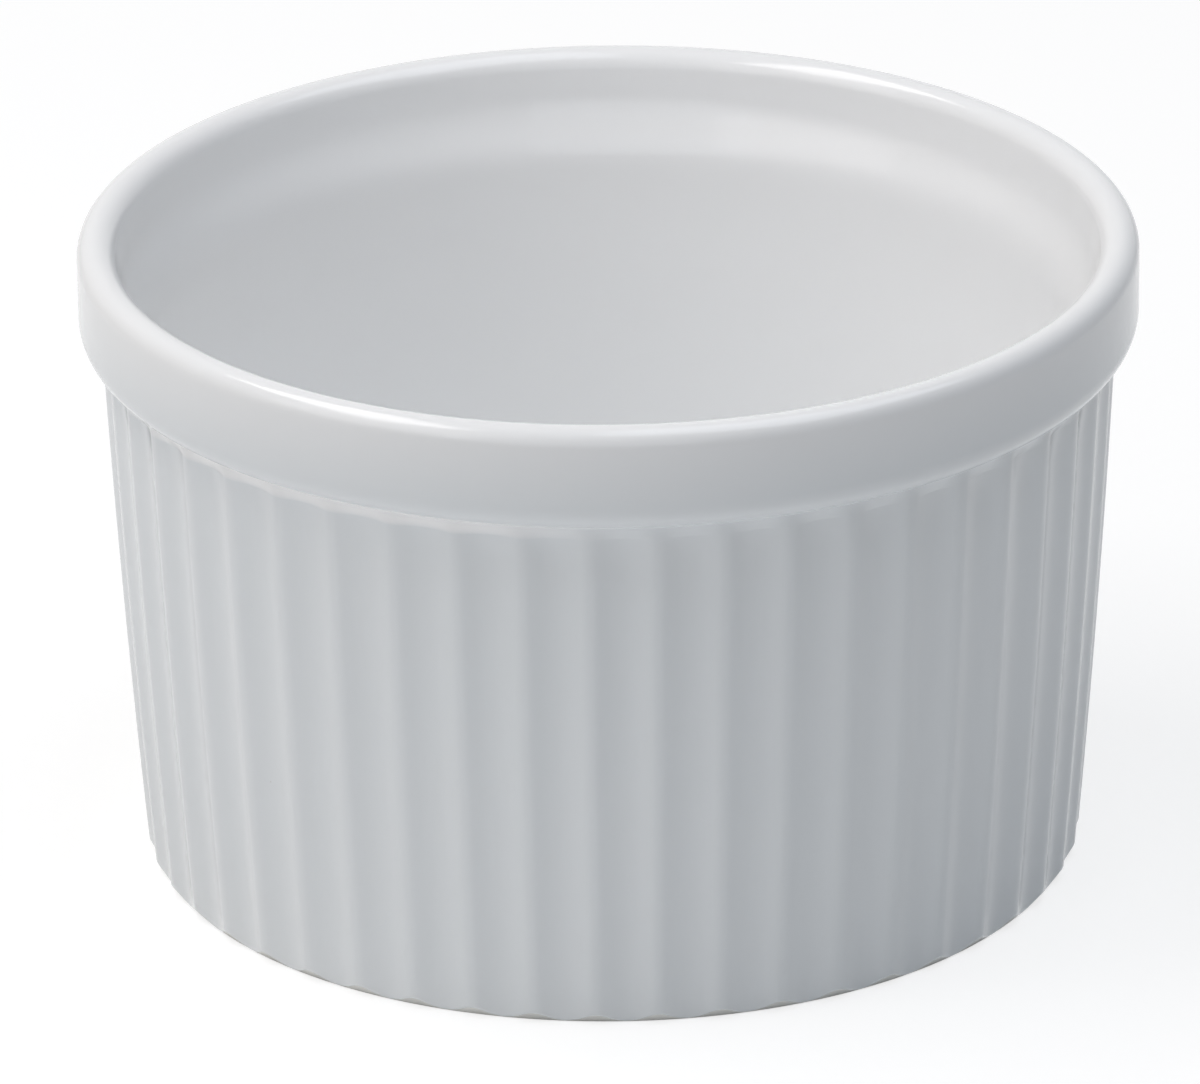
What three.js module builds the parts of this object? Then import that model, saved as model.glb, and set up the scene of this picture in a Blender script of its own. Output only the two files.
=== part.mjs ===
// A deep souffle dish of white porcelain: a fluted wall under a smooth rolled band, a bare foot ring,
// and a clear glaze over everything that does not touch the table.
// Millimetres, +Z up, the standing face of the foot ring on Z = 0 and the axis of the dish on Z.

import * as THREE from 'three';

// Overall size
const RIM_DIAMETER = 170;
const HEIGHT = 104.9;
const GLAZE_THICKNESS = 0.35;

// Lip and band: the lip is two rounds back to back, its inside leans in a few degrees below them, and
// the band rolls under to a crease above the flutes
const LIP_OUTER_ROUND = 2.9;
const LIP_INNER_ROUND = 3.4;
const LIP_INNER_LEAN = THREE.MathUtils.degToRad(10);
const BAND_HEIGHT = 17.4;
const BAND_OVERHANG = 3.63;
const BAND_ROLL_RADIUS = 5.2;

// Wall: measured over the arrises, the ridges between the flutes, down to where they would meet the table
const WALL_FOOT_DIAMETER = 151.6;
const WALL_BULGE = 0.4;
const WALL_THICKNESS = 7;

// Flutes: hollow channels side by side, each fading out in a scoop under the band
const FLUTE_COUNT = 48;
const FLUTE_DEPTH = 1;
const FLUTE_RUNOUT = 2.8;

// Inside: the wall steps in below the lip over a soft shoulder, and meets the floor in a round corner
const SHOULDER_DEPTH = 7.2;
const SHOULDER_LENGTH = 12.8;
const SHOULDER_UPPER_REACH = 5;
const SHOULDER_LOWER_REACH = 6.5;
const FLOOR_CORNER_RADIUS = 12;
const FLOOR_THICKNESS = 5.5;

// Foot: a chamfer cuts the flutes off in small arches above a bare standing ring round a shallow recess
const FOOT_CHAMFER_HEIGHT = 2.1;
const FOOT_LAND = 0.1;
const FOOT_RING_WIDTH = 4;
const FOOT_RING_SLOPE = 1;
const BASE_RECESS = 1.2;

// Points round each ring of the surface: four to a flute, two on the smooth outside, one inside
const FLUTE_FACETS = 4;
const FLUTED_RING = FLUTE_COUNT * FLUTE_FACETS;
const OUTSIDE_RING = FLUTE_COUNT * 2;
const INSIDE_RING = FLUTE_COUNT;

// Steps along the rounded stretches of the profile, and the shares of a scoop's length where it has a ring
const FLOOR_CORNER_STEPS = 3;
const SHOULDER_STEPS = 5;
const LIP_INNER_STEPS = 2;
const LIP_OUTER_STEPS = 3;
const BAND_ROLL_STEPS = 4;
const SCOOP_SHARES = [0.4, 1];

// Heights and radii that follow from the driving dimensions
const RIM_RADIUS = RIM_DIAMETER / 2;
const CREASE_HEIGHT = HEIGHT - BAND_HEIGHT;
const CREASE_RADIUS = RIM_RADIUS - BAND_OVERHANG;
const WALL_FOOT_RADIUS = WALL_FOOT_DIAMETER / 2;
const LIP_CREST_RADIUS = RIM_RADIUS - LIP_OUTER_ROUND;
const FLOOR_TOP = BASE_RECESS + FLOOR_THICKNESS;
const FOOT_RADIUS = WALL_FOOT_RADIUS - FLUTE_DEPTH - GLAZE_THICKNESS - FOOT_LAND;
const CHAMFER_SPREAD = (wallRadius(FOOT_CHAMFER_HEIGHT) - FOOT_RADIUS) / FOOT_CHAMFER_HEIGHT;

// Radius over the arrises at a height: a straight taper with a slight belly
function wallRadius(height) {
  const rise = height / CREASE_HEIGHT;
  const taper = (CREASE_RADIUS - WALL_FOOT_RADIUS) * rise;
  const belly = 4 * WALL_BULGE * rise * (1 - rise);
  return WALL_FOOT_RADIUS + taper + belly;
}

// Growth of that radius per millimetre of height
function wallSlope(height) {
  const rise = height / CREASE_HEIGHT;
  return (CREASE_RADIUS - WALL_FOOT_RADIUS + 4 * WALL_BULGE * (1 - 2 * rise)) / CREASE_HEIGHT;
}

// Share of the flute's depth at a point of a ring: none on the arrises, full in the valley, a parabola
// between them
function fluteHollow(index) {
  const across = (index % FLUTE_FACETS) / FLUTE_FACETS;
  const fromValley = 2 * across - 1;
  return 1 - fromValley * fromValley;
}

// The profile is a list of stations, each a radius and a height, the share of the flute's depth there and
// the number of points round its ring
function station(point, ring, flute = 0) {
  return { radius: point.x, height: point.y, flute, ring };
}

// Inside of the glazed dish, from the middle of the floor to the foot of the lip
function insideStations() {
  const lean = Math.atan(wallSlope(FLOOR_TOP + FLOOR_CORNER_RADIUS));
  const cornerTop = FLOOR_TOP + FLOOR_CORNER_RADIUS * (1 - Math.sin(lean));
  const insideRadius = (height) => wallRadius(height) - WALL_THICKNESS;
  const cornerCentre = insideRadius(cornerTop) - FLOOR_CORNER_RADIUS * Math.cos(lean);
  const corner = new THREE.EllipseCurve(
    cornerCentre, FLOOR_TOP + FLOOR_CORNER_RADIUS, FLOOR_CORNER_RADIUS, FLOOR_CORNER_RADIUS,
    -Math.PI / 2, -lean,
  );

  const shoulderTop = HEIGHT - SHOULDER_DEPTH;
  const shoulderFoot = shoulderTop - SHOULDER_LENGTH;
  const shoulderStart = new THREE.Vector2(insideRadius(shoulderFoot), shoulderFoot);
  const alongWall = new THREE.Vector2(wallSlope(shoulderFoot), 1);
  const lipFoot = HEIGHT - LIP_INNER_ROUND * (1 - Math.sin(LIP_INNER_LEAN));
  const lipFootRadius = LIP_CREST_RADIUS - LIP_INNER_ROUND * Math.cos(LIP_INNER_LEAN);
  const alongLip = new THREE.Vector2(Math.tan(LIP_INNER_LEAN), 1);
  const shoulderEnd = new THREE.Vector2(lipFootRadius, lipFoot)
    .addScaledVector(alongLip, shoulderTop - lipFoot);
  const shoulder = new THREE.CubicBezierCurve(
    shoulderStart,
    shoulderStart.clone().addScaledVector(alongWall, SHOULDER_LOWER_REACH),
    shoulderEnd.clone().addScaledVector(alongLip, -SHOULDER_UPPER_REACH),
    shoulderEnd,
  );

  const floorMiddle = new THREE.Vector2(0, FLOOR_TOP);
  return [
    station(floorMiddle, 1),
    ...corner.getPoints(FLOOR_CORNER_STEPS).map((point) => station(point, INSIDE_RING)),
    ...shoulder.getPoints(SHOULDER_STEPS).map((point) => station(point, INSIDE_RING)),
  ];
}

// Lip, band and rolled edge, from the inside over the top and down to the crease
function rimStations() {
  const rollAngle = Math.acos(1 - BAND_OVERHANG / BAND_ROLL_RADIUS);
  const rollHeight = CREASE_HEIGHT + BAND_ROLL_RADIUS * Math.sin(rollAngle);
  const arc = (centre, height, radius, from, to) =>
    new THREE.EllipseCurve(centre, height, radius, radius, from, to, to < from);

  const lipInside = arc(
    LIP_CREST_RADIUS, HEIGHT - LIP_INNER_ROUND, LIP_INNER_ROUND, Math.PI - LIP_INNER_LEAN, Math.PI / 2,
  );
  const lipOutside = arc(LIP_CREST_RADIUS, HEIGHT - LIP_OUTER_ROUND, LIP_OUTER_ROUND, Math.PI / 2, 0);
  const roll = arc(RIM_RADIUS - BAND_ROLL_RADIUS, rollHeight, BAND_ROLL_RADIUS, 0, -rollAngle);
  return [
    ...lipInside.getPoints(LIP_INNER_STEPS),
    ...lipOutside.getPoints(LIP_OUTER_STEPS).slice(1),
    ...roll.getPoints(BAND_ROLL_STEPS),
  ].map((point) => station(point, OUTSIDE_RING));
}

// Fluted wall below the crease: the scoops at the flutes' tops, then the plain run down to the foot
function wallStations() {
  const scoop = SCOOP_SHARES.map((share) => ({
    height: CREASE_HEIGHT - share * FLUTE_RUNOUT,
    flute: 1 - (1 - share) ** 2,
  }));
  const belly = { height: CREASE_HEIGHT / 2, flute: 1 };
  return [...scoop, belly].map(({ height, flute }) =>
    station(new THREE.Vector2(wallRadius(height), height), FLUTED_RING, flute));
}

// Profile moved into the material by the glaze's thickness, with each straight stretch kept parallel
function underGlaze(stations) {
  const normals = stations.slice(1).map((next, index) => {
    const place = stations[index];
    const along = new THREE.Vector2(next.radius - place.radius, next.height - place.height);
    return new THREE.Vector2(-along.y, along.x).normalize();
  });
  return stations.map((place, index) => {
    const before = normals[Math.max(index - 1, 0)];
    const after = normals[Math.min(index, normals.length - 1)];
    const mitre = before.clone().add(after).multiplyScalar(GLAZE_THICKNESS / (1 + before.dot(after)));
    return { ...place, radius: place.radius - mitre.x, height: place.height - mitre.y };
  });
}

// Ring of points at a station, drawn in along the flutes; a ring of one point is a pole on the axis
function stationRing({ radius, height, flute, ring }) {
  return Array.from({ length: ring }, (_, index) => {
    const angle = (2 * Math.PI * index) / ring;
    const reach = ring === 1 ? 0 : radius - flute * FLUTE_DEPTH * fluteHollow(index);
    return new THREE.Vector3(reach * Math.cos(angle), reach * Math.sin(angle), height);
  });
}

// Ring where the wall, at a depth under the glaze, runs into the chamfer: an arch over every arris
function chamferRing(underSurface) {
  return Array.from({ length: FLUTED_RING }, (_, index) => {
    const angle = (2 * Math.PI * index) / FLUTED_RING;
    const wallAtTable = WALL_FOOT_RADIUS - underSurface - FLUTE_DEPTH * fluteHollow(index);
    const height = (wallAtTable - FOOT_RADIUS) / (CHAMFER_SPREAD - wallSlope(0));
    const reach = FOOT_RADIUS + CHAMFER_SPREAD * height;
    return new THREE.Vector3(reach * Math.cos(angle), reach * Math.sin(angle), height);
  });
}

// Triangles between two neighbouring rings, which may have different numbers of points
function stitch(inner, outer) {
  const triangles = [];
  const innerSteps = inner.length > 1 ? inner.length : 0;
  const outerSteps = outer.length > 1 ? outer.length : 0;
  let i = 0;
  let j = 0;
  while (i < innerSteps || j < outerSteps) {
    const a = inner[i % inner.length];
    const b = outer[j % outer.length];
    const innerTurn = j === outerSteps || (i < innerSteps && (i + 1) * outerSteps <= (j + 1) * innerSteps);
    if (innerTurn) {
      i += 1;
      triangles.push(a, b, inner[i % inner.length]);
    } else {
      j += 1;
      triangles.push(a, b, outer[j % outer.length]);
    }
  }
  return triangles;
}

// Skin through a row of rings
function skin(rings) {
  return rings.slice(1).flatMap((ring, before) => stitch(rings[before], ring));
}

// Closed solid: a front skin from pole to pole, or a front and a back skin from their poles to a shared edge
function loft(front, back = []) {
  let count = 0;
  const numbered = (rings) => rings.map((ring) => ring.map(() => count++));
  const frontRings = numbered(front);
  const backRings = numbered(back);
  const edge = back.length > 0 ? stitch(frontRings.at(-1), backRings.at(-1)) : [];
  const geometry = new THREE.BufferGeometry().setFromPoints([...front.flat(), ...back.flat()]);
  geometry.setIndex([...skin(frontRings), ...edge, ...skin(backRings).reverse()]);
  geometry.computeVertexNormals();
  return geometry;
}

function piece(name, geometry, material) {
  const mesh = new THREE.Mesh(geometry, new THREE.MeshStandardMaterial(material));
  mesh.name = name;
  return mesh;
}

const glazedStations = [...insideStations(), ...rimStations(), ...wallStations()];
const glazedRings = [...glazedStations.map(stationRing), chamferRing(0)];
const biscuitRings = [...underGlaze(glazedStations).map(stationRing), chamferRing(GLAZE_THICKNESS)];

// The recess under the floor: the body's ceiling over it, and the glazed face of that ceiling
const footInnerRadius = FOOT_RADIUS - FOOT_RING_WIDTH;
const recessRadius = footInnerRadius - FOOT_RING_SLOPE;
const recessRing = (radius, height) => stationRing(station(new THREE.Vector2(radius, height), INSIDE_RING));
const recessPole = (height) => stationRing(station(new THREE.Vector2(0, height), 1));
const ceilingHeight = BASE_RECESS + GLAZE_THICKNESS;

// Moulded porcelain: inside, lip, band and flutes under the glaze, then the bare foot ring and the recess
const porcelainBody = loft([
  ...biscuitRings,
  stationRing(station(new THREE.Vector2(FOOT_RADIUS, 0), FLUTED_RING)),
  recessRing(footInnerRadius, 0),
  recessRing(recessRadius, BASE_RECESS),
  recessRing(recessRadius, ceilingHeight),
  recessPole(ceilingHeight),
]);

// Glaze over the inside, the lip, the band and the flutes, ending flush with the chamfer
const glazeCoat = loft(glazedRings, biscuitRings);

// Disc of glaze in the recess
const baseGlaze = loft([
  recessPole(ceilingHeight),
  recessRing(recessRadius, ceilingHeight),
  recessRing(recessRadius, BASE_RECESS),
  recessPole(BASE_RECESS),
]);

const dish = new THREE.Group();
dish.add(
  piece('porcelain_body', porcelainBody, { color: 0xe9e5dc, roughness: 0.85, metalness: 0 }),
  piece('glaze_coat', glazeCoat, { color: 0xf1f2f2, roughness: 0.12, metalness: 0 }),
  piece('base_glaze', baseGlaze, { color: 0xf1f2f2, roughness: 0.15, metalness: 0 }),
);

export default dish;
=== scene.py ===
import math

import bpy
from mathutils import Matrix, Vector


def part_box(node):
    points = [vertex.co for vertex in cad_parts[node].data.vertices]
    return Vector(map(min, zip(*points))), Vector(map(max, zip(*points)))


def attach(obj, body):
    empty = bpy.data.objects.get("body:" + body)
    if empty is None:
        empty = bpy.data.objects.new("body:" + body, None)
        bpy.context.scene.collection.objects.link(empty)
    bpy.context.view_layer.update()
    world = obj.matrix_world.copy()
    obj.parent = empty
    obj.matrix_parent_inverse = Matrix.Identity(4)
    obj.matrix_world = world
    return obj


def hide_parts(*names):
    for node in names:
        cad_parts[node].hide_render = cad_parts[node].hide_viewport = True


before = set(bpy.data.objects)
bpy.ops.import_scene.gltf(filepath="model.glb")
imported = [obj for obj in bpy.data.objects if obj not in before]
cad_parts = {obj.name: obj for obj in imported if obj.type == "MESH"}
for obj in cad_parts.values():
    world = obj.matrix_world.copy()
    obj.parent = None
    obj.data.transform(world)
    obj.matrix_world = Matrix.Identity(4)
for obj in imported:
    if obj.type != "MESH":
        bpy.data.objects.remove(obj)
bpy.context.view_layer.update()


# Porcelain body
# The dish itself: white hard porcelain, pressed in a fluted mould, smoothed inside and fired once.
# Everything but the foot is then glazed over, so only its small arches and the standing ring show bare.

MM = 0.001

rim_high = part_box("glaze_coat")[1]
recess_low, recess_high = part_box("base_glaze")
RIM_RADIUS = rim_high.x
HEIGHT = rim_high.z
RECESS_RADIUS = recess_high.x
RECESS_DEPTH = recess_low.z
GLAZE = recess_high.z - recess_low.z

LIP_OUTER_ROUND = 2.9 * MM
LIP_INNER_ROUND = 3.4 * MM
LIP_INNER_LEAN = math.radians(10)
BAND_HEIGHT = 17.4 * MM
BAND_OVERHANG = 3.63 * MM
BAND_ROLL = 5.2 * MM
CREASE_FILLET = 0.25 * MM
WALL_FOOT_RADIUS = 75.8 * MM
WALL_BULGE = 0.4 * MM
WALL_THICKNESS = 7 * MM
SHOULDER_DEPTH = 7.2 * MM
SHOULDER_LENGTH = 12.8 * MM
SHOULDER_UPPER_REACH = 5 * MM
SHOULDER_LOWER_REACH = 6.5 * MM
FLOOR_CORNER = 12 * MM
FLOOR_THICKNESS = 5.5 * MM
FLUTES = 48
FLUTE_DEPTH = 1 * MM
FLUTE_RUNOUT = 2.1 * MM
ARRIS_SOFTNESS = 0.34
ARRIS_CROWDING = 0.6
POINTS_PER_FLUTE = 12
CHAMFER_HEIGHT = 2.1 * MM
FOOT_LAND = 0.1 * MM
FOOT_RING_WIDTH = 4 * MM
FOOT_EDGE = 0.15 * MM
BODY_STEPS = 4
MERGE_DISTANCE = 0.001 * MM

# The glaze follows the same section, so its rows also carry shares of painted light that whiten the glaze:
# only part of it on the floor and at the top of the band. A painted bright strip runs from under the roll
# into the scoops.
FLOOR_PAINTED_LIGHT = 0.7
BAND_PAINTED_LIGHT = 0.7
ROLL_UNDERSIDE = 0.75
PAINTED_STRIP_FADE = 4

FLOOR_TOP = RECESS_DEPTH + FLOOR_THICKNESS
CREASE_HEIGHT = HEIGHT - BAND_HEIGHT
CREASE_RADIUS = RIM_RADIUS - BAND_OVERHANG
LIP_CREST_RADIUS = RIM_RADIUS - LIP_OUTER_ROUND
FOOT_RADIUS = WALL_FOOT_RADIUS - FLUTE_DEPTH - GLAZE - FOOT_LAND
FOOT_INNER_RADIUS = FOOT_RADIUS - FOOT_RING_WIDTH


def wall_radius(height):
    """Radius over the arrises, the ridges between the flutes: a taper with a slight belly."""
    rise = height / CREASE_HEIGHT
    taper = (CREASE_RADIUS - WALL_FOOT_RADIUS) * rise
    return WALL_FOOT_RADIUS + taper + 4 * WALL_BULGE * rise * (1 - rise)


def wall_slope(height):
    """Growth of that radius with height."""
    rise = height / CREASE_HEIGHT
    return (CREASE_RADIUS - WALL_FOOT_RADIUS + 4 * WALL_BULGE * (1 - 2 * rise)) / CREASE_HEIGHT


CHAMFER_SPREAD = (wall_radius(CHAMFER_HEIGHT) - FOOT_RADIUS) / CHAMFER_HEIGHT


def shares(steps):
    """Even steps from 0 to 1."""
    return [step / steps for step in range(steps + 1)]


def arc(centre, radius, start, stop, steps):
    """Points of a section along an arc, its angles in radians from outward towards up."""
    angles = [start + (stop - start) * share for share in shares(steps)]
    return [
        (centre[0] + radius * math.cos(angle), centre[1] + radius * math.sin(angle)) for angle in angles
    ]


def bezier(points, steps):
    """Points of a section along a cubic Bezier curve."""
    a, b, c, d = [Vector(point) for point in points]
    return [
        tuple(a * (1 - t) ** 3 + b * 3 * t * (1 - t) ** 2 + c * 3 * t * t * (1 - t) + d * t ** 3)
        for t in shares(steps)
    ]


def plain(points, coat=0.0, run=0.0):
    """Rows without flutes: radius, height, then the shares of flute, arch, painted light and painted bright
    strip.
    """
    return [(radius, height, 0.0, 0.0, coat, run) for radius, height in points]


def inside_rows(steps):
    """From the middle of the floor, round the corner and up over the shoulder."""
    lean = math.atan(wall_slope(FLOOR_TOP + FLOOR_CORNER))
    corner_top = FLOOR_TOP + FLOOR_CORNER * (1 - math.sin(lean))
    corner_centre = wall_radius(corner_top) - WALL_THICKNESS - FLOOR_CORNER * math.cos(lean)
    floor = [(corner_centre * share, FLOOR_TOP) for share in shares(steps)]
    corner = arc((corner_centre, FLOOR_TOP + FLOOR_CORNER), FLOOR_CORNER, -math.pi / 2, -lean, steps)
    shoulder_top = HEIGHT - SHOULDER_DEPTH
    shoulder_foot = shoulder_top - SHOULDER_LENGTH
    heights = [corner_top + (shoulder_foot - corner_top) * share for share in shares(steps)]
    wall = [(wall_radius(height) - WALL_THICKNESS, height) for height in heights]
    lower_radius = wall[-1][0] + SHOULDER_LOWER_REACH * wall_slope(shoulder_foot)
    lip_foot = HEIGHT - LIP_INNER_ROUND * (1 - math.sin(LIP_INNER_LEAN))
    lip_foot_radius = LIP_CREST_RADIUS - LIP_INNER_ROUND * math.cos(LIP_INNER_LEAN)
    lean_in = math.tan(LIP_INNER_LEAN)
    shoulder_radius = lip_foot_radius - (lip_foot - shoulder_top) * lean_in
    shoulder = bezier(
        [
            wall[-1],
            (lower_radius, shoulder_foot + SHOULDER_LOWER_REACH),
            (shoulder_radius - SHOULDER_UPPER_REACH * lean_in, shoulder_top - SHOULDER_UPPER_REACH),
            (shoulder_radius, shoulder_top),
        ],
        2 * steps,
    )
    # The inside is painted whiter as painted light: part way on the floor, rising to full up the wall and
    # shoulder.
    rows = plain(floor[:-1] + corner[:-1], FLOOR_PAINTED_LIGHT)
    for point, share in zip(wall[:-1], shares(steps)):
        rows += plain([point], FLOOR_PAINTED_LIGHT + (1.0 - FLOOR_PAINTED_LIGHT) * share)
    return rows + plain(shoulder, 1.0)


def rim_rows(steps):
    """Over the lip, down the band and round its rolled edge into the crease, which has a small fillet."""
    roll_centre_radius = RIM_RADIUS - BAND_ROLL
    roll_drop = math.sqrt(BAND_ROLL ** 2 - (CREASE_RADIUS - roll_centre_radius) ** 2)
    roll_centre = (roll_centre_radius, CREASE_HEIGHT + roll_drop)
    fillet_radius = CREASE_RADIUS + CREASE_FILLET
    fillet_reach = BAND_ROLL + CREASE_FILLET
    roll_angle = math.acos((fillet_radius - roll_centre_radius) / fillet_reach)
    fillet_centre = (fillet_radius, roll_centre[1] - fillet_reach * math.sin(roll_angle))
    lip_inner_centre = (LIP_CREST_RADIUS, HEIGHT - LIP_INNER_ROUND)
    lip_outer_centre = (LIP_CREST_RADIUS, HEIGHT - LIP_OUTER_ROUND)
    lip_inner = arc(lip_inner_centre, LIP_INNER_ROUND, math.pi - LIP_INNER_LEAN, math.pi / 2, 2 * steps)
    lip_outer = arc(lip_outer_centre, LIP_OUTER_ROUND, math.pi / 2, 0, 2 * steps)
    roll = arc(roll_centre, BAND_ROLL, 0, -roll_angle, 2 * steps)
    fillet = arc(fillet_centre, CREASE_FILLET, math.pi - roll_angle, math.pi, steps)
    # Painted light whitens the lip fully and fades down the band; the roll's underside and fillet carry the
    # painted bright strip.
    turned_under = int(ROLL_UNDERSIDE * 2 * steps)
    rows = plain(lip_inner[:-1], 1.0)
    for point, share in zip(lip_outer, shares(2 * steps)):
        rows += plain([point], 1.0 - (1.0 - BAND_PAINTED_LIGHT) * share)
    return rows + plain(roll[:turned_under]) + plain(roll[turned_under:] + fillet[1:], 0.0, 1.0)


def wall_rows(top, foot, steps):
    """Down the flutes, from the scoops that end them under the crease to the arches over the foot."""
    rows = []
    for share in shares(2 * steps)[1:]:
        height = top - share * FLUTE_RUNOUT
        # The painted bright strip fades down the scoops.
        rows.append((wall_radius(height), height, share, 0.0, 0.0, 1.0 - share ** PAINTED_STRIP_FADE))
    runout = top - FLUTE_RUNOUT
    for share in shares(2 * steps)[1:]:
        height = runout + (foot - runout) * share
        rows.append((wall_radius(height), height, 1.0, share, 0.0, 0.0))
    return rows


def dish_rows(steps, foot=0.0):
    """The whole glazed section, from the middle of the floor to the foot of the wall."""
    rim = rim_rows(steps)
    return inside_rows(steps) + rim + wall_rows(rim[-1][1], foot, steps)


def inset(rows, depth):
    """A section moved into the material, square to its own run."""
    moved = []
    for index, (radius, height, *marks) in enumerate(rows):
        before = rows[max(index - 1, 0)]
        after = rows[min(index + 1, len(rows) - 1)]
        run = Vector((after[0] - before[0], after[1] - before[1])).normalized()
        moved.append((radius + depth * run.y, height - depth * run.x, *marks))
    return moved


def add_node(tree, kind, sockets=None, **settings):
    """Add a node, set its properties, then fill its sockets with plain values or with links."""
    node = tree.nodes.new(kind)
    for name, value in settings.items():
        setattr(node, name, value)
    for name, value in (sockets or {}).items():
        if isinstance(value, bpy.types.NodeSocket):
            tree.links.new(value, node.inputs[name])
        else:
            node.inputs[name].default_value = value
    return node


def turned_and_fluted():
    """Geometry nodes that turn a section round the axis and press the flutes and foot arches into it."""
    tree = bpy.data.node_groups.new("turned and fluted", "GeometryNodeTree")
    inputs = {
        "Section": "NodeSocketGeometry",
        "Flutes": "NodeSocketInt",
        "Points per Flute": "NodeSocketInt",
        "Flute Depth": "NodeSocketFloat",
        "Arris Softness": "NodeSocketFloat",
        "Arch Height": "NodeSocketFloat",
        "Arch Drop": "NodeSocketFloat",
        "Wall Slope": "NodeSocketFloat",
        "Material": "NodeSocketMaterial",
    }
    for name, kind in inputs.items():
        tree.interface.new_socket(name, in_out="INPUT", socket_type=kind)
    tree.interface.new_socket("Piece", in_out="OUTPUT", socket_type="NodeSocketGeometry")
    given = add_node(tree, "NodeGroupInput").outputs

    # A grid with a row for each point of the section and a column for each step round the dish
    rows = add_node(tree, "GeometryNodeAttributeDomainSize", {0: given["Section"]}).outputs["Point Count"]
    round_steps = add_node(
        tree, "ShaderNodeMath", {0: given["Flutes"], 1: given["Points per Flute"]}, operation="MULTIPLY"
    ).outputs[0]
    columns = add_node(tree, "ShaderNodeMath", {0: round_steps, 1: 1.0}, operation="ADD").outputs[0]
    grid = add_node(
        tree, "GeometryNodeMeshGrid", {"Vertices X": columns, "Vertices Y": rows}
    ).outputs["Mesh"]
    index = add_node(tree, "GeometryNodeInputIndex").outputs[0]
    passed = add_node(tree, "ShaderNodeMath", {0: index, 1: rows}, operation="DIVIDE").outputs[0]
    column = add_node(tree, "ShaderNodeMath", {0: passed}, operation="FLOOR").outputs[0]
    row = add_node(tree, "ShaderNodeMath", {0: index, 1: rows}, operation="MODULO").outputs[0]

    # What the section says of this row
    position = add_node(tree, "GeometryNodeInputPosition").outputs[0]
    section = add_node(
        tree,
        "GeometryNodeSampleIndex",
        {"Geometry": given["Section"], "Value": position, "Index": row},
        data_type="FLOAT_VECTOR",
    ).outputs[0]
    here = {}
    for name in ("flute", "arch", "coat", "run"):
        named = add_node(
            tree, "GeometryNodeInputNamedAttribute", {"Name": name}, data_type="FLOAT"
        ).outputs[0]
        here[name] = add_node(
            tree,
            "GeometryNodeSampleIndex",
            {"Geometry": given["Section"], "Value": named, "Index": row},
            data_type="FLOAT",
        ).outputs[0]
    section = add_node(tree, "ShaderNodeSeparateXYZ", {0: section}).outputs

    # Place round the dish, counted in flutes, with the steps crowded towards the arrises
    even = add_node(
        tree, "ShaderNodeMath", {0: column, 1: given["Points per Flute"]}, operation="DIVIDE"
    ).outputs[0]
    phase = add_node(tree, "ShaderNodeMath", {0: even, 1: 2 * math.pi}, operation="MULTIPLY").outputs[0]
    sway = add_node(tree, "ShaderNodeMath", {0: phase}, operation="SINE").outputs[0]
    crowding = -ARRIS_CROWDING / (2 * math.pi)
    turn = add_node(
        tree, "ShaderNodeMath", {0: sway, 1: crowding, 2: even}, operation="MULTIPLY_ADD"
    ).outputs[0]
    whole = add_node(tree, "ShaderNodeMath", {0: turn, 1: given["Flutes"]}, operation="DIVIDE").outputs[0]
    angle = add_node(tree, "ShaderNodeMath", {0: whole, 1: 2 * math.pi}, operation="MULTIPLY").outputs[0]

    # Hollow of the flute here: nothing on the softened arrises, 1 in the valley, a parabola between
    halves = add_node(tree, "ShaderNodeMath", {0: turn, 1: 2.0}, operation="MULTIPLY").outputs[0]
    across = add_node(tree, "ShaderNodeMath", {0: halves, 1: 1.0}, operation="PINGPONG").outputs[0]
    rest = add_node(tree, "ShaderNodeMath", {0: 2.0, 1: across}, operation="SUBTRACT").outputs[0]
    parabola = add_node(tree, "ShaderNodeMath", {0: across, 1: rest}, operation="MULTIPLY").outputs[0]
    soft = add_node(
        tree,
        "ShaderNodeMath",
        {0: parabola, 1: given["Arris Softness"], 2: given["Arris Softness"]},
        operation="SMOOTH_MAX",
    ).outputs[0]
    hollow = add_node(
        tree, "ShaderNodeMapRange", {"Value": soft, "From Min": given["Arris Softness"]}
    ).outputs[0]
    pressed = add_node(
        tree, "ShaderNodeMath", {0: hollow, 1: here["flute"]}, operation="MULTIPLY"
    ).outputs[0]

    # The foot of the wall is lifted in an arch over every arris, and follows the wall's slope as it rises
    drop = add_node(
        tree, "ShaderNodeMath", {0: given["Arch Drop"], 1: hollow}, operation="MULTIPLY"
    ).outputs[0]
    rise = add_node(
        tree, "ShaderNodeMath", {0: given["Arch Height"], 1: drop}, operation="SUBTRACT"
    ).outputs[0]
    lift = add_node(tree, "ShaderNodeMath", {0: rise, 1: here["arch"]}, operation="MULTIPLY").outputs[0]
    height = add_node(tree, "ShaderNodeMath", {0: section["Z"], 1: lift}, operation="ADD").outputs[0]
    reach = add_node(
        tree, "ShaderNodeMath", {0: lift, 1: given["Wall Slope"], 2: section["X"]}, operation="MULTIPLY_ADD"
    ).outputs[0]
    depth = add_node(
        tree, "ShaderNodeMath", {0: pressed, 1: given["Flute Depth"]}, operation="MULTIPLY"
    ).outputs[0]
    radius = add_node(tree, "ShaderNodeMath", {0: reach, 1: depth}, operation="SUBTRACT").outputs[0]
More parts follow.
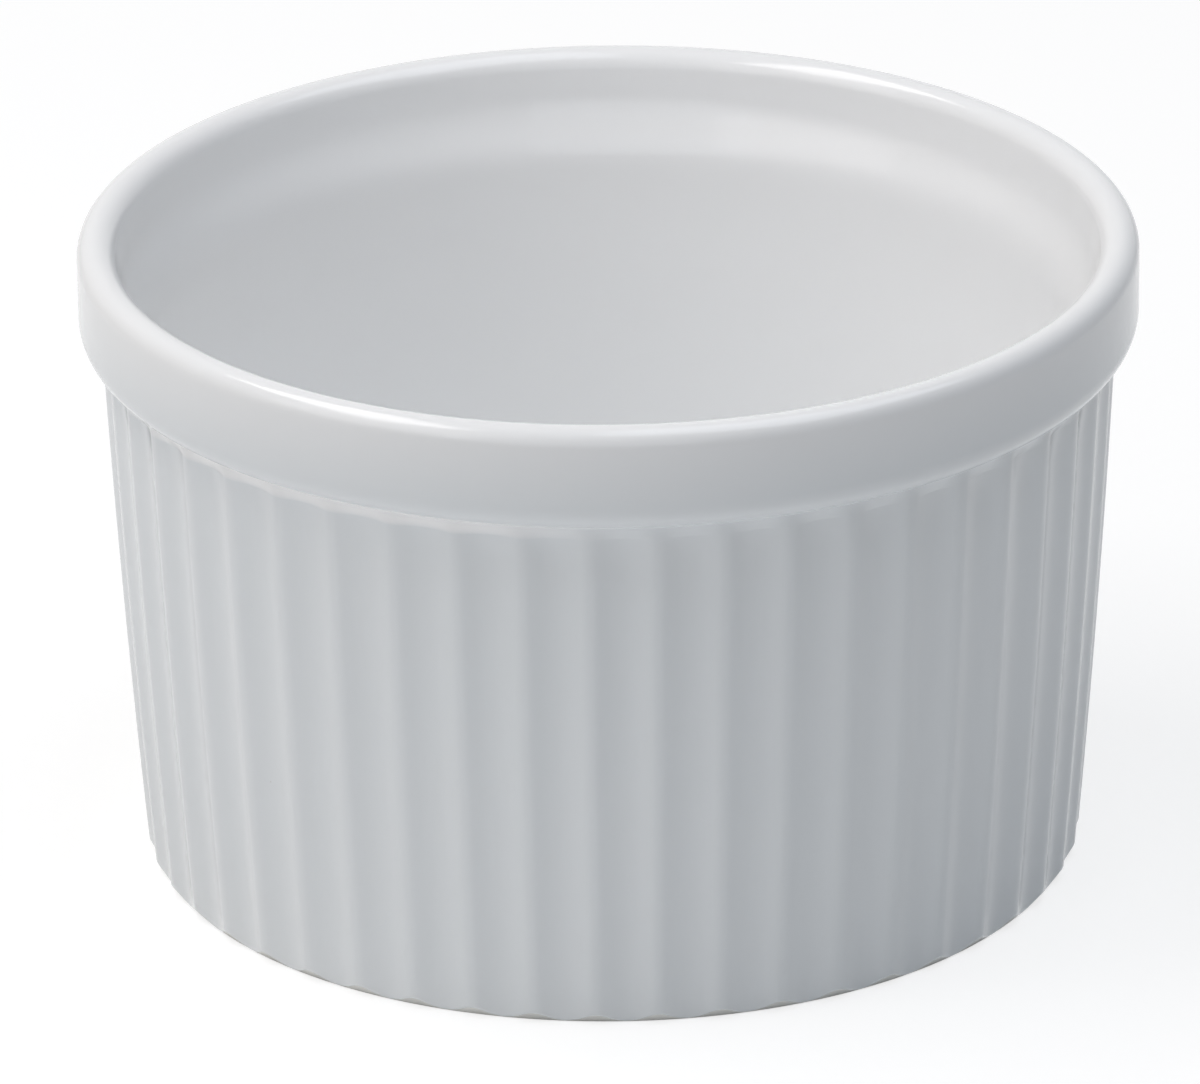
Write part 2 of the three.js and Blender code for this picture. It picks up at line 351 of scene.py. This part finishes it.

    # The grid rolled up, its seam and poles closed, with the shares of painted light and painted strip kept
    # for the material
    cosine = add_node(tree, "ShaderNodeMath", {0: angle}, operation="COSINE").outputs[0]
    sine = add_node(tree, "ShaderNodeMath", {0: angle}, operation="SINE").outputs[0]
    x = add_node(tree, "ShaderNodeMath", {0: radius, 1: cosine}, operation="MULTIPLY").outputs[0]
    y = add_node(tree, "ShaderNodeMath", {0: radius, 1: sine}, operation="MULTIPLY").outputs[0]
    place = add_node(tree, "ShaderNodeCombineXYZ", {0: x, 1: y, 2: height}).outputs[0]
    kept = grid
    for name in ("coat", "run"):
        kept = add_node(
            tree,
            "GeometryNodeStoreNamedAttribute",
            {"Geometry": kept, "Name": name, "Value": here[name]},
            data_type="FLOAT",
            domain="POINT",
        ).outputs[0]
    rolled = add_node(tree, "GeometryNodeSetPosition", {"Geometry": kept, "Position": place}).outputs[0]
    closed = add_node(
        tree, "GeometryNodeMergeByDistance", {"Geometry": rolled, "Distance": MERGE_DISTANCE}
    ).outputs[0]
    outward = add_node(tree, "GeometryNodeFlipFaces", {0: closed}).outputs[0]
    smooth = add_node(tree, "GeometryNodeSetShadeSmooth", {0: outward}).outputs[0]
    realized = add_node(tree, "GeometryNodeRealizeInstances", {0: smooth}).outputs[0]
    finished = add_node(
        tree, "GeometryNodeSetMaterial", {"Geometry": realized, "Material": given["Material"]}
    ).outputs[0]
    add_node(tree, "NodeGroupOutput", {0: finished})
    return tree


fluting = turned_and_fluted()


def turned_piece(name, rows, points_per_flute, material):
    """A closed piece turned from a section, as a plain mesh."""
    section = bpy.data.meshes.new(name + "_section")
    points = [(row[0], 0.0, row[1]) for row in rows]
    section.from_pydata(points, [(index, index + 1) for index in range(len(points) - 1)], [])
    for attribute, column in (("flute", 2), ("arch", 3), ("coat", 4), ("run", 5)):
        layer = section.attributes.new(attribute, "FLOAT", "POINT")
        layer.data.foreach_set("value", [row[column] for row in rows])
    piece = bpy.data.objects.new(name, section)
    bpy.context.collection.objects.link(piece)
    modifier = piece.modifiers.new("turned and fluted", "NODES")
    modifier.node_group = fluting
    arch_spread = CHAMFER_SPREAD - wall_slope(0)
    sizes = {
        "Flutes": FLUTES,
        "Points per Flute": points_per_flute,
        "Flute Depth": FLUTE_DEPTH,
        "Arris Softness": ARRIS_SOFTNESS,
        "Arch Height": (WALL_FOOT_RADIUS - GLAZE - FOOT_RADIUS) / arch_spread,
        "Arch Drop": FLUTE_DEPTH / arch_spread,
        "Wall Slope": wall_slope(0),
        "Material": material,
    }
    for item in fluting.interface.items_tree:
        if item.in_out == "INPUT" and item.name in sizes:
            modifier[item.identifier] = sizes[item.name]
    view = bpy.context.evaluated_depsgraph_get()
    mesh = bpy.data.meshes.new_from_object(
        piece.evaluated_get(view), preserve_all_data_layers=True, depsgraph=view
    )
    piece.modifiers.clear()
    piece.data = mesh
    mesh.name = name
    return piece


def linear(colour):
    """Linear colour from an sRGB hex value."""
    parts = [int(colour[start:start + 2], 16) / 255 for start in (1, 3, 5)]
    return [part / 12.92 if part <= 0.04045 else ((part + 0.055) / 1.055) ** 2.4 for part in parts] + [1.0]


# Biscuit porcelain, wiped bare of glaze before the firing: dense, matt and faintly warm, with a fine grit
# that takes up a little grey where it meets tables. The grit is really about 0.1 mm and is drawn coarser
# so that it shows.
BISCUIT_PALE = "#eeeeea"
BISCUIT_WORN = "#dededa"
BISCUIT_SMOOTHEST = 0.72
BISCUIT_ROUGHEST = 0.92
BISCUIT_GRIT = 0.4 * MM
GRIT_DETAIL = 3.0
GRIT_DEPTH = 0.04 * MM
GRIT_STRENGTH = 0.5
BISCUIT_SMUDGE = 9 * MM
SMUDGE_DETAIL = 4.0
SMUDGE_START = 0.4
SMUDGE_FULL = 0.75

# Sockets of a Mix node that mixes colours
MIX_FROM = 6
MIX_TO = 7
MIX_RESULT = 2

biscuit = bpy.data.materials.new("biscuit porcelain")
biscuit.use_nodes = True
tree = biscuit.node_tree
tree.nodes.clear()
place = add_node(tree, "ShaderNodeTexCoord").outputs["Object"]
grit = add_node(
    tree, "ShaderNodeTexNoise", {"Vector": place, "Scale": 1 / BISCUIT_GRIT, "Detail": GRIT_DETAIL}
).outputs[0]
smudge = add_node(
    tree, "ShaderNodeTexNoise", {"Vector": place, "Scale": 1 / BISCUIT_SMUDGE, "Detail": SMUDGE_DETAIL}
).outputs[0]
worn = add_node(
    tree, "ShaderNodeMapRange", {"Value": smudge, "From Min": SMUDGE_START, "From Max": SMUDGE_FULL}
).outputs[0]
tone = add_node(
    tree,
    "ShaderNodeMix",
    {0: worn, MIX_FROM: linear(BISCUIT_PALE), MIX_TO: linear(BISCUIT_WORN)},
    data_type="RGBA",
).outputs[MIX_RESULT]
dry = add_node(
    tree, "ShaderNodeMapRange", {"Value": grit, "To Min": BISCUIT_SMOOTHEST, "To Max": BISCUIT_ROUGHEST}
).outputs[0]
grain = add_node(
    tree, "ShaderNodeBump", {"Strength": GRIT_STRENGTH, "Distance": GRIT_DEPTH, "Height": grit}
).outputs[0]
surface = add_node(
    tree, "ShaderNodeBsdfPrincipled", {"Base Color": tone, "Roughness": dry, "Normal": grain}
).outputs[0]
add_node(tree, "ShaderNodeOutputMaterial", {"Surface": surface})


# Rows down the chamfer, as shares of the way out from the standing ring to the arrises
CHAMFER_STEPS = (0.96, 0.7, 0.4, 0.1, 0.0)


def foot_rows():
    """Down the chamfer to the standing ring, across it, and up into the recess under the floor."""
    wall_foot = WALL_FOOT_RADIUS - GLAZE
    rows = []
    for share in CHAMFER_STEPS:
        rows.append((FOOT_RADIUS + share * (wall_foot - FOOT_RADIUS), 0.0, share, share, 0.0, 0.0))
    ring = [
        (FOOT_RADIUS - FOOT_EDGE, 0.0),
        (FOOT_INNER_RADIUS + FOOT_EDGE, 0.0),
        (FOOT_INNER_RADIUS, 0.0),
        (FOOT_INNER_RADIUS - FOOT_EDGE, FOOT_EDGE),
        (RECESS_RADIUS, RECESS_DEPTH),
        (RECESS_RADIUS, RECESS_DEPTH + GLAZE),
        (RECESS_RADIUS - FOOT_EDGE, RECESS_DEPTH + GLAZE),
        (0.0, RECESS_DEPTH + GLAZE),
    ]
    return rows + plain(ring)


body_rows = inset(dish_rows(BODY_STEPS), GLAZE) + foot_rows()
body = turned_piece("dish_body", body_rows, POINTS_PER_FLUTE, biscuit)
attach(body, "root")
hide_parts("porcelain_body")


# Glaze coat
# A clear feldspar glaze, about a third of a millimetre thick, that the dish is dipped in and fired with
# again. It is painted whitest on the lip and inside as painted light, has a painted bright strip of floor
# light in the crease on the left of the front, and ends in a round bead above the foot.

GLAZE_BEAD = 0.5 * MM
COAT_STEPS = 8
UNDERSIDE_STEPS = 2
BEAD_STEPS = 6

# Glazed porcelain: white seen through clear glass, with a wet gloss. Painted light makes the lip, the
# inside and the crease strip whitest, and painted shade makes the outside faintly cool and greyer. The
# melt leaves a long soft ripple and a few iron specks.
GLAZE_PAINTED_SHADE = "#ebeff1"
GLAZE_PAINTED_SHADE_CLOUD = "#edf0f2"
GLAZE_PAINTED_LIGHT = "#fdfdfd"
GLAZE_SMOOTHEST = 0.11
GLAZE_ROUGHEST = 0.17
GLAZE_IOR = 1.52
GLAZE_SPECULAR = 0.42
GLAZE_CLOUD = 30 * MM
CLOUD_DETAIL = 3.0
GLAZE_RIPPLE = 11 * MM
RIPPLE_DETAIL = 1.0
RIPPLE_DEPTH = 0.05 * MM
RIPPLE_STRENGTH = 0.3
SPECK_SPACING = 17 * MM
SPECK_SIZE = 0.3 * MM
SPECK_CORE = SPECK_SIZE / 3
SPECK_TONE = "#b7afa5"
PLACES_WITHOUT_SPECK = 0.6

# Where the painted bright strip of floor light lies in the crease, as angles round the dish: its middle,
# counted from the front towards the right, and how far from there it is full and has ended
PAINTED_STRIP_MIDDLE = math.radians(-36)
PAINTED_STRIP_FULL = math.radians(20)
PAINTED_STRIP_END = math.radians(42)

glazed = bpy.data.materials.new("glazed porcelain")
glazed.use_nodes = True
tree = glazed.node_tree
tree.nodes.clear()
place = add_node(tree, "ShaderNodeTexCoord").outputs["Object"]
cloud = add_node(
    tree, "ShaderNodeTexNoise", {"Vector": place, "Scale": 1 / GLAZE_CLOUD, "Detail": CLOUD_DETAIL}
).outputs[0]
ripple = add_node(
    tree, "ShaderNodeTexNoise", {"Vector": place, "Scale": 1 / GLAZE_RIPPLE, "Detail": RIPPLE_DETAIL}
).outputs[0]
specks = add_node(tree, "ShaderNodeTexVoronoi", {"Vector": place, "Scale": 1 / SPECK_SPACING}).outputs
# Shares of painted light and of the painted bright strip in the crease, stored on the mesh
painted_light_share = add_node(tree, "ShaderNodeAttribute", attribute_name="coat").outputs["Fac"]
painted_strip_share = add_node(tree, "ShaderNodeAttribute", attribute_name="run").outputs["Fac"]
across = add_node(tree, "ShaderNodeSeparateXYZ", {0: place}).outputs
to_front = add_node(
    tree, "ShaderNodeMath", {0: across["Y"], 1: -1.0}, operation="MULTIPLY"
).outputs[0]
round_front = add_node(
    tree, "ShaderNodeMath", {0: across["X"], 1: to_front}, operation="ARCTAN2"
).outputs[0]
from_strip_middle = add_node(
    tree, "ShaderNodeMath", {0: round_front, 1: PAINTED_STRIP_MIDDLE}, operation="SUBTRACT"
).outputs[0]
strip_reach = add_node(tree, "ShaderNodeMath", {0: from_strip_middle}, operation="ABSOLUTE").outputs[0]
strip_along = add_node(
    tree,
    "ShaderNodeMapRange",
    {"Value": strip_reach, "From Min": PAINTED_STRIP_END, "From Max": PAINTED_STRIP_FULL},
    interpolation_type="SMOOTHSTEP",
).outputs[0]
# The painted bright strip of floor light, kept to the left of the front of the crease
painted_strip = add_node(
    tree, "ShaderNodeMath", {0: painted_strip_share, 1: strip_along}, operation="MULTIPLY"
).outputs[0]
# Painted light and shade: the glaze goes from its painted shade colour to its painted light colour
painted_light = add_node(
    tree, "ShaderNodeMath", {0: painted_light_share, 1: painted_strip}, operation="MAXIMUM"
).outputs[0]
clouded_shade = add_node(
    tree,
    "ShaderNodeMix",
    {0: cloud, MIX_FROM: linear(GLAZE_PAINTED_SHADE), MIX_TO: linear(GLAZE_PAINTED_SHADE_CLOUD)},
    data_type="RGBA",
).outputs[MIX_RESULT]
painted_tone = add_node(
    tree,
    "ShaderNodeMix",
    {0: painted_light, MIX_FROM: clouded_shade, MIX_TO: linear(GLAZE_PAINTED_LIGHT)},
    data_type="RGBA",
).outputs[MIX_RESULT]
speck_edge = SPECK_SIZE / SPECK_SPACING
speck_core = SPECK_CORE / SPECK_SPACING
near = add_node(
    tree,
    "ShaderNodeMapRange",
    {"Value": specks["Distance"], "From Min": speck_edge, "From Max": speck_core},
).outputs[0]
chosen = add_node(
    tree, "ShaderNodeMath", {0: specks["Color"], 1: PLACES_WITHOUT_SPECK}, operation="GREATER_THAN"
).outputs[0]
speck = add_node(tree, "ShaderNodeMath", {0: near, 1: chosen}, operation="MULTIPLY").outputs[0]
tone = add_node(
    tree, "ShaderNodeMix", {0: speck, MIX_FROM: painted_tone, MIX_TO: linear(SPECK_TONE)}, data_type="RGBA"
).outputs[MIX_RESULT]
gloss = add_node(
    tree, "ShaderNodeMapRange", {"Value": cloud, "To Min": GLAZE_SMOOTHEST, "To Max": GLAZE_ROUGHEST}
).outputs[0]
melt = add_node(
    tree, "ShaderNodeBump", {"Strength": RIPPLE_STRENGTH, "Distance": RIPPLE_DEPTH, "Height": ripple}
).outputs[0]
surface = add_node(
    tree,
    "ShaderNodeBsdfPrincipled",
    {
        "Base Color": tone,
        "Roughness": gloss,
        "IOR": GLAZE_IOR,
        "Specular IOR Level": GLAZE_SPECULAR,
        "Normal": melt,
    },
).outputs[0]
add_node(tree, "ShaderNodeOutputMaterial", {"Surface": surface})


def bead_rows(steps):
    """The round edge of the glaze at the foot of the wall."""
    rows = []
    for share in shares(steps)[1:-1]:
        angle = share * math.pi / 2
        height = GLAZE_BEAD * (1 - math.sin(angle))
        rows.append((wall_radius(height) - GLAZE * (1 - math.cos(angle)), height, 1.0, 1.0, 0.0, 0.0))
    return rows


under_rows = inset(dish_rows(UNDERSIDE_STEPS), GLAZE)
coat_rows = dish_rows(COAT_STEPS, GLAZE_BEAD) + bead_rows(BEAD_STEPS) + under_rows[::-1]
coat = turned_piece("dish_glaze", coat_rows, POINTS_PER_FLUTE, glazed)
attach(coat, "root")
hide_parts("glaze_coat")


# Base glaze
# The same glaze on the ceiling of the recess under the floor, brushed on inside the bare ring.
# It has a soft round edge where it draws back from the ring.

BASE_EDGE = GLAZE / 2
BASE_EDGE_STEPS = 6
BASE_POINTS_PER_FLUTE = 4

edge_centre = (RECESS_RADIUS - BASE_EDGE, RECESS_DEPTH + BASE_EDGE)
rounded_edge = arc(edge_centre, BASE_EDGE, 0, -math.pi / 2, BASE_EDGE_STEPS)
base_points = [(0.0, RECESS_DEPTH + GLAZE), (RECESS_RADIUS - BASE_EDGE, RECESS_DEPTH + GLAZE)]
base_points += [(RECESS_RADIUS, RECESS_DEPTH + GLAZE)] + rounded_edge
base_points += [(RECESS_RADIUS - 2 * BASE_EDGE, RECESS_DEPTH), (0.0, RECESS_DEPTH)]
base = turned_piece("recess_glaze", plain(base_points), BASE_POINTS_PER_FLUTE, glazed)
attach(base, "root")
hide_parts("base_glaze")


# Table top
# A plain white sheet under the dish, not part of it. To the camera and in the glaze it glows to white and
# keeps a pale shadow of the dish. The light that it throws back up comes from its white without the glow.

TABLE_SIZE = 8.0
TABLE_WHITE = "#f8f8f8"
TABLE_SHADE = "#aaaaaa"
TABLE_GLOW = 0.72

half = TABLE_SIZE / 2
corners = [(-half, -half, 0), (half, -half, 0), (half, half, 0), (-half, half, 0)]
table_mesh = bpy.data.meshes.new("table_top")
table_mesh.from_pydata(corners, [], [(0, 1, 2, 3)])
table = bpy.data.objects.new("table_top", table_mesh)
bpy.context.collection.objects.link(table)


def seen_directly(tree):
    """1 for rays from the camera or by way of a reflection or clear glass, 0 for rays that carry light."""
    path = add_node(tree, "ShaderNodeLightPath").outputs
    mirrored = add_node(
        tree,
        "ShaderNodeMath",
        {0: path["Is Glossy Ray"], 1: path["Is Transmission Ray"]},
        operation="MAXIMUM",
    ).outputs[0]
    return add_node(
        tree, "ShaderNodeMath", {0: path["Is Camera Ray"], 1: mirrored}, operation="MAXIMUM"
    ).outputs[0]


white_sheet = bpy.data.materials.new("white sheet")
white_sheet.use_nodes = True
tree = white_sheet.node_tree
tree.nodes.clear()
seen = seen_directly(tree)
tone = add_node(
    tree,
    "ShaderNodeMix",
    {0: seen, MIX_FROM: linear(TABLE_WHITE), MIX_TO: linear(TABLE_SHADE)},
    data_type="RGBA",
).outputs[MIX_RESULT]
matt = add_node(tree, "ShaderNodeBsdfDiffuse", {"Color": tone}).outputs[0]
glow_level = add_node(tree, "ShaderNodeMath", {0: seen, 1: TABLE_GLOW}, operation="MULTIPLY").outputs[0]
glow = add_node(tree, "ShaderNodeEmission", {"Strength": glow_level}).outputs[0]
surface = add_node(tree, "ShaderNodeAddShader", {0: matt, 1: glow}).outputs[0]
add_node(tree, "ShaderNodeOutputMaterial", {"Surface": surface})
table_mesh.materials.append(white_sheet)


# Light
# Soft boxes round the dish: a bright one high on the left, a large one nearly overhead on the right, a
# paler one at the left front and a faint one low in front. The room looks white to the camera and in
# reflections, and adds almost no light of its own.

ROOM_WHITE = "#ffffff"
ROOM_LIGHT = 0.02
WARM_WHITE = "#fffcfa"
COOL_WHITE = "#eff5fd"
BOX_DISTANCE = 1.5

scene = bpy.context.scene
scene.view_settings.view_transform = "Standard"
room = bpy.data.worlds.new("pale room")
room.use_nodes = True
tree = room.node_tree
tree.nodes.clear()
seen = seen_directly(tree)
level = add_node(
    tree, "ShaderNodeMapRange", {"Value": seen, "To Min": ROOM_LIGHT, "To Max": 1.0}
).outputs[0]
surface = add_node(
    tree, "ShaderNodeBackground", {"Color": linear(ROOM_WHITE), "Strength": level}
).outputs[0]
add_node(tree, "ShaderNodeOutputWorld", {"Surface": surface})
scene.world = room


def soft_box(name, azimuth, elevation, length, width, power, tone):
    """A rectangular lamp facing the dish, its azimuth in degrees from the front towards the right."""
    across = math.radians(azimuth)
    above = math.radians(elevation)
    run = Vector((math.cos(across), math.sin(across), 0.0))
    level_way = Vector((math.sin(across), -math.cos(across), 0.0))
    way = level_way * math.cos(above) + Vector((0.0, 0.0, math.sin(above)))
    lamp = bpy.data.lights.new(name, "AREA")
    lamp.shape = "RECTANGLE"
    lamp.size = length
    lamp.size_y = width
    lamp.energy = power
    lamp.color = linear(tone)[:3]
    box = bpy.data.objects.new(name, lamp)
    bpy.context.collection.objects.link(box)
    turned = Matrix((run, way.cross(run), way)).transposed().to_4x4()
    box.matrix_world = Matrix.Translation(way * BOX_DISTANCE) @ turned


soft_box("window_box", azimuth=-92.5, elevation=63, length=1.1, width=0.5, power=9.3, tone=WARM_WHITE)
soft_box("top_box", azimuth=86, elevation=72, length=1.2, width=1.0, power=8.4, tone=COOL_WHITE)
soft_box("side_box", azimuth=-50, elevation=35, length=1.2, width=1.0, power=4.1, tone=WARM_WHITE)
soft_box("front_box", azimuth=-6, elevation=18, length=1.4, width=0.6, power=1.8, tone=COOL_WHITE)


# Camera
# A long lens well back from the dish, a little above it, with an arris just left of the middle.

VIEW_DISTANCE = 1900 * MM
VIEW_ELEVATION = math.radians(23.196)
VIEW_AZIMUTH = math.radians(2.4)
VIEW_ROLL = math.radians(0.589)
AIM_ACROSS = -1.76 * MM
AIM_HEIGHT = 50.39 * MM
SENSOR_WIDTH = 36.0
FOCAL_LENGTH = 352.28

camera_data = bpy.data.cameras.new("camera")
camera_data.sensor_fit = "HORIZONTAL"
camera_data.sensor_width = SENSOR_WIDTH
camera_data.lens = FOCAL_LENGTH
camera = bpy.data.objects.new("camera", camera_data)
bpy.context.collection.objects.link(camera)
right = Vector((math.cos(VIEW_AZIMUTH), math.sin(VIEW_AZIMUTH), 0.0))
level_back = Vector((math.sin(VIEW_AZIMUTH), -math.cos(VIEW_AZIMUTH), 0.0))
back = level_back * math.cos(VIEW_ELEVATION) + Vector((0.0, 0.0, math.sin(VIEW_ELEVATION)))
up = back.cross(right)
rolled_right = right * math.cos(VIEW_ROLL) - up * math.sin(VIEW_ROLL)
rolled_up = up * math.cos(VIEW_ROLL) + right * math.sin(VIEW_ROLL)
aim = right * AIM_ACROSS + Vector((0.0, 0.0, AIM_HEIGHT))
facing = Matrix((rolled_right, rolled_up, back)).transposed().to_4x4()
camera.matrix_world = Matrix.Translation(aim + back * VIEW_DISTANCE) @ facing
scene.camera = camera
